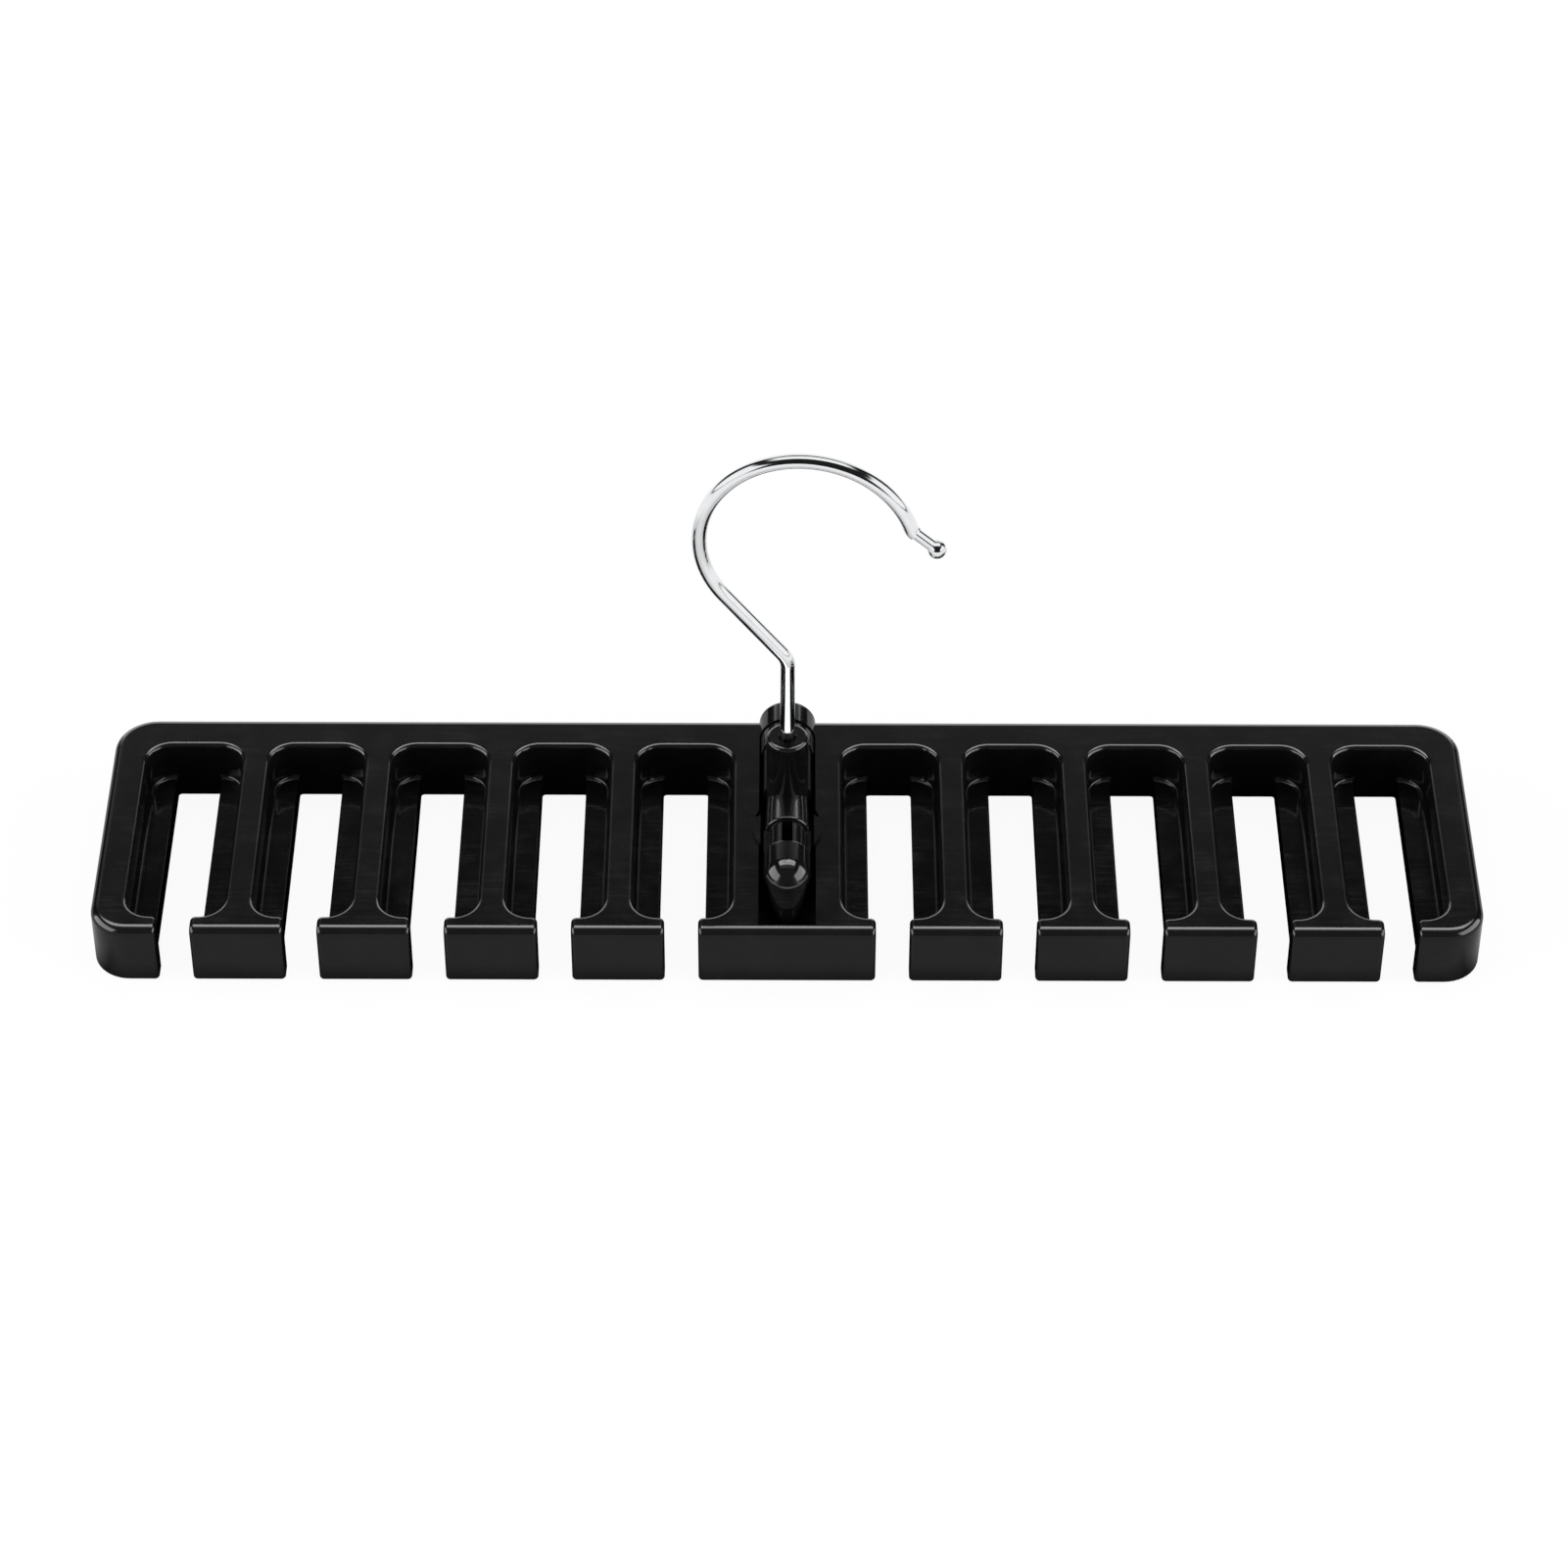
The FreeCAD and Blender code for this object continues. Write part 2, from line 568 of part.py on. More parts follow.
sketch = sketch_on(block, "NutRecessOutline", "XY_Plane", "-barrel_radius")
circle_at(sketch, ("0", "0"), "nut_radius + nut_gap")
pocket(block, "NutRecess", sketch, "barrel_radius - nut_ceiling", reverse=True)

sketch = sketch_on(block, "WindowOutline", "XY_Plane", "front_journal")
box_outline(sketch, "-window_width / 2", "window_width / 2",
            "-collar_reach + window_inset", "-rim_reach - window_inset")
pocket(block, "Window", sketch, "window_depth")

# Wire hook: one bent wire with a thinned, ball-ended tip


def turned(angle):
    """Gives the unit vector at an angle and the one to its left."""
    along = FreeCAD.Vector(math.cos(angle), math.sin(angle), 0)
    return along, FreeCAD.Vector(-along.y, along.x, 0)


def hook_line():
    """Works out where the wire's straight and bent stretches meet.

    Returns the stretches in order, each as a start, an end, a radius (or None)
    and the way that it bends, and then the ball's place and direction.
    """
    foot = FreeCAD.Vector(0, amount_of(f"{NUT_TOP} - nut_thickness - wire_foot"), 0)
    stem_end = FreeCAD.Vector(0, amount_of("stem_top"), 0)
    bend, loop, tip = (amount_of(name) for name in ("stem_bend", "loop_radius", "tip_bend"))
    bend_centre = stem_end - FreeCAD.Vector(bend, 0, 0)
    loop_centre = point_of(("loop_offset", "loop_height"))
    apart = loop_centre - bend_centre
    slant = math.atan2(apart.y, apart.x) + math.asin((loop + bend) / apart.Length)
    left = turned(slant)[1]
    slant_start = bend_centre - left * bend
    slant_end = loop_centre + left * loop
    outward = turned(math.asin(amount_of("loop_end_rise") / loop))[0]
    loop_end = loop_centre + outward * loop
    loop_top = loop_centre + FreeCAD.Vector(0, loop, 0)
    tip_centre = loop_end + outward * tip
    ball = loop_centre + point_of(("tip_reach", "tip_rise"))
    apart = ball - tip_centre
    neck, left = turned(math.atan2(apart.y, apart.x) + math.asin(tip / apart.Length))
    neck_start = tip_centre - left * tip
    stretches = (
        (foot, stem_end, None, None),
        (stem_end, slant_start, "stem_bend", "left"),
        (slant_start, slant_end, None, None),
        (slant_end, loop_top, "loop_radius", "right"),
        (loop_top, loop_end, "loop_radius", "right"),
        (loop_end, neck_start, "tip_bend", "left"),
    )
    return stretches, neck_start, ball, neck


hook = new_body("wire_hook")
stretches, neck_start, ball, neck = hook_line()
path = sketch_on(hook, "WireLine", "XZ_Plane")
pieces = []
for start, end, radius, way in stretches:
    if radius is None:
        pieces.append((path.addGeometry(Part.LineSegment(start, end), False), (START, END)))
        continue
    bent = arc_between(start, end, amount_of(radius), way == "left")
    pieces.append((path.addGeometry(bent, False), (START, END) if way == "left" else (END, START)))
    fix(path, "Radius", pieces[-1][0], to=radius)
for (before, before_ends), (after, after_ends) in zip(pieces, pieces[1:]):
    path.addConstraint(Sketcher.Constraint("Tangent", before, before_ends[1], after, after_ends[0]))
(stem, _), _, _, (loop_rise, _), (loop_fall, (fall_start, fall_end)), _ = pieces
fix_point(path, stem, START, ("0", f"{NUT_TOP} - nut_thickness - wire_foot"))
fix_point(path, stem, END, ("0", "stem_top"))
fix_point(path, loop_rise, MIDDLE, ("loop_offset", "loop_height"))
fix(path, "DistanceX", *ORIGIN, loop_fall, fall_start, to="loop_offset")
fix(path, "DistanceY", loop_rise, MIDDLE, loop_fall, fall_end, to="loop_end_rise")

sketch = sketch_on(hook, "WireSection", "XY_Plane", f"{NUT_TOP} - nut_thickness - wire_foot")
circle_at(sketch, ("0", "0"), WIRE_RADIUS)
doc.recompute()
wire = hook.newObject("PartDesign::AdditivePipe", "Wire")
wire.Profile = sketch
wire.Spine = (path, [f"Edge{number}" for number in range(1, len(pieces) + 1)])
doc.recompute()

to_hook_plane = FreeCAD.Rotation(ALONG_X, QUARTER_TURN)
neck_way = FreeCAD.Rotation(UP, to_hook_plane.multVec(neck))
tip = hook.newObject("PartDesign::AdditiveCylinder", "TipNeck")
tip.setExpression("Radius", tie("tip_neck / 2"))
tip.Height = (ball - neck_start).Length
tip.Placement = FreeCAD.Placement(to_hook_plane.multVec(neck_start), neck_way)
ball_end = hook.newObject("PartDesign::AdditiveSphere", "TipBall")
ball_end.setExpression("Radius", tie("ball_diameter / 2"))
ball_end.Placement = FreeCAD.Placement(to_hook_plane.multVec(ball), FreeCAD.Rotation())
doc.recompute()

# Push nut: a toothed ring pressed on the foot of the wire

nut = new_body("push_nut")
sketch = sketch_on(nut, "NutOutline", "XY_Plane", NUT_TOP)
circle_at(sketch, ("0", "0"), "nut_radius")
circle_at(sketch, ("0", "0"), WIRE_RADIUS)
pad(nut, "Ring", sketch, "nut_thickness", reverse=True)
sketch = sketch_on(nut, "ToothGapOutline", "XY_Plane", NUT_TOP)
box_outline(sketch, "0", f"{WIRE_RADIUS} + tooth_length", "-tooth_gap / 2", "tooth_gap / 2")
gap = pocket(nut, "ToothGap", sketch, "nut_thickness")
teeth = nut.newObject("PartDesign::PolarPattern", "ToothGaps")
teeth.Originals = [gap]
teeth.Axis = (origin_feature(nut, "Z_Axis"), [""])
teeth.Angle = FULL_TURN
teeth.setExpression("Occurrences", tie("nut_teeth"))
nut.Tip = teeth

# The block, hook and nut share the point where the boss crosses the tilt axis

for body, turn in ((block, "0"), (hook, "-hook_turn"), (nut, "-hook_turn")):
    body.Placement = FreeCAD.Placement(FreeCAD.Vector(), FreeCAD.Rotation(UP, amount_of(turn)))
    body.setExpression("Placement.Base.y", tie(BOSS_Y))
    body.setExpression("Placement.Base.z", tie("axis_height"))
doc.recompute()

# Checks and files

failed = [item.Name for item in doc.Objects if {"Invalid", "Error"} & set(item.State)]
if failed:
    raise RuntimeError(f"not worked out: {failed}")
os.makedirs("parts", exist_ok=True)
for body in (comb, block, hook, nut):
    shape = body.Shape
    if shape.isNull() or not shape.isValid() or len(shape.Solids) != 1:
        raise RuntimeError(f"{body.Label} is not one valid solid")
for body in (comb, block, hook, nut):
    body.Shape.exportStep(f"parts/{body.Label}.step")
    box = body.Shape.BoundBox
    print(f"{body.Label}: {body.Shape.Volume / MM3_PER_CM3:.2f} cm3, "
          f"x {box.XMin:.2f} {box.XMax:.2f}, "
          f"y {box.YMin:.2f} {box.YMax:.2f}, "
          f"z {box.ZMin:.2f} {box.ZMax:.2f}")
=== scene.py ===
"""Looks of a tie hanger: two glossy black mouldings, a chrome-plated wire hook and a bare steel push nut."""

import logging
import math
from dataclasses import dataclass, field
from enum import Enum
from typing import Any

import bmesh
import bpy
from mathutils import Matrix, Vector

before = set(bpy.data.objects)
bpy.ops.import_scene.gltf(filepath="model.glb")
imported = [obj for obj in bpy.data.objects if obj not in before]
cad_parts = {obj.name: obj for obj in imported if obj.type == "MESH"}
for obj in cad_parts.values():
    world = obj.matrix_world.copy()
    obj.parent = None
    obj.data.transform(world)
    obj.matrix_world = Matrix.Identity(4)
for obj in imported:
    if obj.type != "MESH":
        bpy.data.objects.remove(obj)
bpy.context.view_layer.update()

log = logging.getLogger("tie_hanger")

MM = 0.001
WHITE = "#ffffff"

# The sRGB curve is straight up to its knee and a power above it.
SRGB_STEPS = 255
SRGB_KNEE = 0.04045
SRGB_STRAIGHT = 12.92
SRGB_SHIFT = 0.055
SRGB_POWER = 2.4

# An area lamp with this many watts per square metre shows as one in a mirror.
GLEAM_WATTS = 4.0

Pair = tuple[float, float]
Triple = tuple[float, float, float]


def srgb(code: str) -> tuple[float, float, float, float]:
    """Turns an sRGB hex colour into linear values.

    Args:
        code: Six hex digits, with or without a leading hash sign.

    Returns:
        Linear red, green and blue, and an alpha of one.
    """
    digits = code.lstrip("#")
    linear = []
    for start in (0, 2, 4):
        part = int(digits[start:start + 2], 16) / SRGB_STEPS
        if part <= SRGB_KNEE:
            linear.append(part / SRGB_STRAIGHT)
        else:
            linear.append(((part + SRGB_SHIFT) / (1 + SRGB_SHIFT)) ** SRGB_POWER)
    return (linear[0], linear[1], linear[2], 1.0)


def per_metre(size_mm: float) -> float:
    """Gives the scale of a pattern.

    Args:
        size_mm: How far apart its features are, in millimetres.

    Returns:
        The number of features in a metre.
    """
    return 1.0 / (size_mm * MM)


def set_inputs(tree: bpy.types.NodeTree, node: bpy.types.Node, inputs: dict[str | int, Any]) -> None:
    """Links or sets the inputs of a node.

    Args:
        tree: The tree that the node is in.
        node: The node.
        inputs: Maps an input's name or number to an output socket, or to a plain value for it.
    """
    for key, value in inputs.items():
        socket = node.inputs[key]
        if isinstance(value, bpy.types.NodeSocket):
            tree.links.new(value, socket)
        else:
            socket.default_value = value


def add_node(tree: bpy.types.NodeTree, kind: str, inputs: dict[str | int, Any] | None = None,
             **settings: Any) -> bpy.types.Node:
    """Adds a node, sets it up and links its inputs.

    Args:
        tree: The node tree that gets the node.
        kind: The node's type name, without the leading ShaderNode.
        inputs: What its inputs get, as in set_inputs.
        **settings: Properties of the node itself.

    Returns:
        The new node.
    """
    node = tree.nodes.new(f"ShaderNode{kind}")
    for name, value in settings.items():
        setattr(node, name, value)
    set_inputs(tree, node, inputs or {})
    return node


def new_material(name: str) -> tuple[bpy.types.Material, bpy.types.Node]:
    """Makes a node material.

    Args:
        name: The material's name.

    Returns:
        The material and its principled shader.
    """
    made = bpy.data.materials.new(name)
    made.use_nodes = True
    return made, made.node_tree.nodes["Principled BSDF"]


def from_mirror(tree: bpy.types.NodeTree, path: bpy.types.Node) -> bpy.types.NodeSocket:
    """Tells the rays that come from a mirror or through glass.

    Args:
        tree: The node tree.
        path: Its light path node.

    Returns:
        A socket that is one for such a ray and nought for others.
    """
    either = add_node(tree, "Math", {0: path.outputs["Is Glossy Ray"],
                                     1: path.outputs["Is Transmission Ray"]}, operation="MAXIMUM")
    return either.outputs[0]


@dataclass(frozen=True)
class GlossStyrene:
    """Black styrene plastic, injection moulded against a polished tool.

    The eye sees a deep black with clear but slightly wavy reflections: the skin sinks a little over thick
    sections, has a faint orange peel, and is rubbed a trace duller where hands and cloth pass over it. The
    ledges beside the slots fall a little to the front, so they mirror a darker part of the room than the
    ribs do.

    Attributes:
        rub_dull: Product of the rub and scuff patterns where the skin starts and ends to get duller.
        rub_tint: Value of the rub pattern where the colour starts and ends to change.
        ledge_mm: Heights where the fall of the ledges starts and is full.
        ledge_facing: How far a face has to look up for that fall to start and to be full.
    """

    name: str
    colour: str = "#0e0e0f"
    rubbed_colour: str = "#141415"
    roughness: float = 0.1
    rubbed_roughness: float = 0.17
    specular: float = 0.24
    ior: float = 1.5
    sink_mm: float = 16.0
    sink_depth_mm: float = 0.01
    sink_detail: float = 1.0
    peel_mm: float = 1.6
    peel_depth_mm: float = 0.001
    peel_detail: float = 2.0
    rub_mm: float = 9.0
    rub_detail: float = 5.0
    rub_grain: float = 0.6
    rub_dull: Pair = (0.18, 0.42)
    rub_tint: Pair = (0.45, 0.8)
    scuff_mm: float = 0.7
    scuff_stretch: float = 0.06
    scuff_detail: float = 2.0
    ledge_mm: Pair = (8.0, 7.0)
    ledge_facing: Pair = (0.8, 0.97)
    ledge_draft_deg: float = 0.9

    def rubbing(self, tree: bpy.types.NodeTree,
                where: bpy.types.NodeSocket) -> tuple[bpy.types.NodeSocket, bpy.types.NodeSocket]:
        """Makes the rubbed patches.

        Args:
            tree: The material's node tree.
            where: The place on the object.

        Returns:
            The colour and the roughness.
        """
        rub = add_node(tree, "TexNoise", {"Vector": where, "Scale": per_metre(self.rub_mm),
                                          "Detail": self.rub_detail, "Roughness": self.rub_grain})
        along = add_node(tree, "Mapping", {"Vector": where, "Scale": (self.scuff_stretch, 1.0, 1.0)})
        scuff = add_node(tree, "TexNoise", {"Vector": along.outputs["Vector"], "Detail": self.scuff_detail,
                                            "Scale": per_metre(self.scuff_mm)})
        dull = add_node(tree, "Math", {0: rub.outputs["Fac"], 1: scuff.outputs["Fac"]}, operation="MULTIPLY")
        begin, full = self.rub_dull
        rubbed = add_node(tree, "MapRange", {"Value": dull.outputs[0], "From Min": begin, "From Max": full,
                                             "To Min": self.roughness, "To Max": self.rubbed_roughness})
        tint = add_node(tree, "ValToRGB", {"Fac": rub.outputs["Fac"]})
        colours = (self.colour, self.rubbed_colour)
        for stop, position, code in zip(tint.color_ramp.elements, self.rub_tint, colours):
            stop.position = position
            stop.color = srgb(code)
        return tint.outputs["Color"], rubbed.outputs["Result"]

    def relief(self, tree: bpy.types.NodeTree, where: bpy.types.NodeSocket) -> bpy.types.NodeSocket:
        """Makes the sink waves and the orange peel.

        Args:
            tree: The material's node tree.
            where: The place on the object.

        Returns:
            The normal.
        """
        sink = add_node(tree, "TexNoise", {"Vector": where, "Scale": per_metre(self.sink_mm),
                                           "Detail": self.sink_detail})
        peel = add_node(tree, "TexNoise", {"Vector": where, "Scale": per_metre(self.peel_mm),
                                           "Detail": self.peel_detail})
        waves = add_node(tree, "Bump", {"Height": sink.outputs["Fac"], "Distance": self.sink_depth_mm * MM})
        skin = add_node(tree, "Bump", {"Height": peel.outputs["Fac"], "Distance": self.peel_depth_mm * MM,
                                       "Normal": waves.outputs["Normal"]})
        return skin.outputs["Normal"]

    def drafted(self, tree: bpy.types.NodeTree, place: bpy.types.Node,
                normal: bpy.types.NodeSocket) -> bpy.types.NodeSocket:
        """Lets the ledges fall to the front.

        Args:
            tree: The material's node tree.
            place: The texture coordinate node.
            normal: The normal of the skin.

        Returns:
            The normal with the fall in it.
        """
        spot = add_node(tree, "SeparateXYZ", {0: place.outputs["Object"]})
        facing = add_node(tree, "SeparateXYZ", {0: place.outputs["Normal"]})
        begin, full = self.ledge_mm
        low = add_node(tree, "MapRange", {"Value": spot.outputs["Z"], "From Min": begin * MM,
                                          "From Max": full * MM})
        begin, full = self.ledge_facing
        level = add_node(tree, "MapRange", {"Value": facing.outputs["Z"], "From Min": begin,
                                            "From Max": full})
        on_ledge = add_node(tree, "Math", {0: low.outputs["Result"], 1: level.outputs["Result"]},
                            operation="MULTIPLY")
        draft = add_node(tree, "Bump", {"Height": spot.outputs["Y"], "Strength": on_ledge.outputs[0],
                                        "Distance": math.tan(math.radians(self.ledge_draft_deg)),
                                        "Normal": normal})
        return draft.outputs["Normal"]

    def material(self) -> bpy.types.Material:
        """Builds the node material of this finish.

        Returns:
            The material.
        """
        made, shader = new_material(self.name)
        tree = made.node_tree
        place = add_node(tree, "TexCoord")
        where = place.outputs["Object"]
        colour, roughness = self.rubbing(tree, where)
        normal = self.drafted(tree, place, self.relief(tree, where))
        set_inputs(tree, shader, {"Base Color": colour, "Roughness": roughness, "Normal": normal,
                                  "IOR": self.ior, "Specular IOR Level": self.specular})
        return made


@dataclass(frozen=True)
class ChromePlate:
    """Bright chromium plate on drawn steel wire: a mirror that shows a trace of the wire's drawing marks.

    Attributes:
        ripple_dull: Value of the ripple pattern where the plate starts and ends to get duller.
    """

    name: str
    colour: str = "#f4f5f6"
    shade: str = "#e8eaec"
    roughness: float = 0.08
    dulled_roughness: float = 0.14
    ripple_mm: float = 2.4
    ripple_depth_mm: float = 0.0016
    ripple_detail: float = 3.0
    ripple_dull: Pair = (0.4, 0.75)
    metallic: float = 1.0

    def material(self) -> bpy.types.Material:
        """Builds the node material of this finish.

        Returns:
            The material.
        """
        made, shader = new_material(self.name)
        tree = made.node_tree
        where = add_node(tree, "TexCoord").outputs["Object"]
        ripple = add_node(tree, "TexNoise", {"Vector": where, "Scale": per_metre(self.ripple_mm),
                                             "Detail": self.ripple_detail}).outputs["Fac"]
        begin, full = self.ripple_dull
        dull = add_node(tree, "MapRange", {"Value": ripple, "From Min": begin, "From Max": full,
                                           "To Min": self.roughness, "To Max": self.dulled_roughness})
        tint = add_node(tree, "ValToRGB", {"Fac": ripple})
        for stop, code in zip(tint.color_ramp.elements, (self.colour, self.shade)):
            stop.color = srgb(code)
        marks = add_node(tree, "Bump", {"Height": ripple, "Distance": self.ripple_depth_mm * MM})
        set_inputs(tree, shader, {"Base Color": tint.outputs["Color"], "Roughness": dull.outputs["Result"],
                                  "Normal": marks.outputs["Normal"], "Metallic": self.metallic})
        return made


@dataclass(frozen=True)
class SpringSteel:
    """Stamped spring steel, bare: grey, with the fine grain of rolled strip."""

    name: str
    colour: str = "#8e9094"
    dark: str = "#6a6c70"
    roughness: float = 0.32
    grain_mm: float = 0.25
    grain_stretch: float = 0.08
    grain_detail: float = 3.0
    metallic: float = 1.0

    def material(self) -> bpy.types.Material:
        """Builds the node material of this finish.

        Returns:
            The material.
        """
        made, shader = new_material(self.name)
        tree = made.node_tree
        where = add_node(tree, "TexCoord").outputs["Object"]
        strip = add_node(tree, "Mapping", {"Vector": where, "Scale": (self.grain_stretch, 1.0, 1.0)})
        grain = add_node(tree, "TexNoise", {"Vector": strip.outputs["Vector"], "Detail": self.grain_detail,
                                            "Scale": per_metre(self.grain_mm)})
        tint = add_node(tree, "ValToRGB", {"Fac": grain.outputs["Fac"]})
        for stop, code in zip(tint.color_ramp.elements, (self.dark, self.colour)):
            stop.color = srgb(code)
        set_inputs(tree, shader, {"Base Color": tint.outputs["Color"], "Roughness": self.roughness,
                                  "Metallic": self.metallic})
        return made


Finish = GlossStyrene | ChromePlate | SpringSteel


def dress(node: str, finish: Finish) -> None:
    """Gives a CAD node its finish.

    Args:
        node: The node's name.
        finish: The finish for all its faces.
    """
    material = finish.material()
    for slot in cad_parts[node].material_slots:
        slot.material = material
    log.info("%s: %s", node, material.name)


@dataclass
class CombRack:
    """The moulded comb with its slots, trough and bearings."""

    finish: GlossStyrene = field(default_factory=lambda: GlossStyrene("moulded_black_styrene"))

    def dress(self) -> None:
        """Dresses the comb."""
        dress("comb_rack", self.finish)


@dataclass
class HookBlock:
    """The small moulding that carries the hook and tips in the comb's trough."""

    finish: GlossStyrene = field(default_factory=lambda: GlossStyrene("moulded_black_block", sink_mm=6.0))

    def dress(self) -> None:
        """Dresses the block."""
        dress("hook_block", self.finish)


@dataclass
class WireHook:
    """The bent wire and the push nut on its foot."""

    wire: ChromePlate = field(default_factory=lambda: ChromePlate("chromed_wire"))
    nut: SpringSteel = field(default_factory=lambda: SpringSteel("stamped_spring_steel"))

    def dress(self) -> None:
        """Dresses the wire and its nut."""
        dress("wire_hook", self.wire)
        dress("push_nut", self.nut)


class Mirror(Enum):
    """The CAD nodes that mirror the face of a softbox."""

    MOULDINGS = ("comb_rack", "hook_block")
    WIRE = ("wire_hook",)


@dataclass(frozen=True)
class SoftboxFace:
    """The face of a softbox.

    Attributes:
        way: Direction from the point that it faces to the middle of the face.
        distance: How far away from that point it stands, in metres.
        size: Width and height of the face in metres.
        lit: How strongly it lights surfaces: about what a white sheet facing it shows, where one is white.
        gleam: How bright it shows in mirrors, where one is white.
        aim_mm: The point that it faces.
        mirrored_by: What mirrors it.
    """

    way: Triple
    distance: float
    size: Pair
    lit: float
    gleam: float
    aim_mm: Triple = (0.0, 0.0, 0.0)
    mirrored_by: Mirror = Mirror.MOULDINGS


class Softbox(Enum):
    """The studio's softboxes, and a small card in front of the hook's stem."""

    LEFT = SoftboxFace(way=(-0.92, -0.22, 0.34), distance=1.25, size=(1.5, 0.85), lit=0.8, gleam=6.0)
    RIGHT = SoftboxFace(way=(0.92, -0.22, 0.34), distance=1.25, size=(1.5, 0.85), lit=0.8, gleam=6.0)
    OVERHEAD = SoftboxFace(way=(0.0, 0.34, 0.94), distance=1.1, size=(1.4, 0.55), lit=0.15, gleam=10.0)
    BACKDROP = SoftboxFace(way=(0.0, 0.97, 0.26), distance=1.5, size=(1.9, 0.8), lit=0.0, gleam=2.2)
    CAMERA_SIDE = SoftboxFace(way=(0.0, -0.8, 0.6), distance=1.5, size=(3.0, 2.0), lit=0.0, gleam=0.2)
    STEM_CARD = SoftboxFace(way=(0.0, -0.74, -0.67), distance=0.03, size=(0.032, 0.024), lit=0.0, gleam=0.88,
                            aim_mm=(0.0, 9.8, 47.0), mirrored_by=Mirror.WIRE)


@dataclass
class LampRig:
    """Two lamps for a softbox: one that only lights surfaces and one that is only mirrored.

    Attributes:
        gap: How far behind the face the lamp that lights is hung, in metres.
    """

    gap: float = 0.06

    def hang_lamp(self, name: str, face: SoftboxFace, distance: float, watts: float) -> bpy.types.Object:
        """Hangs an area lamp in the direction of a softbox.

        Args:
            name: The lamp's name.
            face: The softbox's face.
            distance: How far the lamp is from the point that it faces, in metres.
            watts: The lamp's power.

        Returns:
            The lamp's object, hidden from the camera.
        """
        lamp = bpy.data.lights.new(name, "AREA")
        lamp.shape = "RECTANGLE"
        lamp.size, lamp.size_y = face.size
        lamp.energy = watts
        holder = bpy.data.objects.new(name, lamp)
        bpy.context.scene.collection.objects.link(holder)
        way = Vector(face.way).normalized()
        holder.location = Vector(face.aim_mm) * MM + way * distance
        holder.rotation_euler = (-way).to_track_quat("-Z", "Y").to_euler()
        holder.visible_camera = False
        return holder

    def hang(self) -> None:
        """Hangs the lamps of all softboxes."""
        receivers = {}
        for mirror in Mirror:
            receivers[mirror] = bpy.data.collections.new(mirror.name.lower())
            for node in mirror.value:
                receivers[mirror].objects.link(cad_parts[node])
        for box in Softbox:
            face = box.value
            name = box.name.lower()
            if face.lit:
                behind = face.distance + self.gap
                lighting = self.hang_lamp(f"{name}_light", face, behind, face.lit * (math.pi * behind) ** 2)
                lighting.visible_glossy = False
            watts = face.gleam * GLEAM_WATTS * math.prod(face.size)
            mirrored = self.hang_lamp(f"{name}_gleam", face, face.distance, watts)
            mirrored.visible_diffuse = False
            mirrored.light_linking.receiver_collection = receivers[face.mirrored_by]
            log.info("lamp: %s", name)


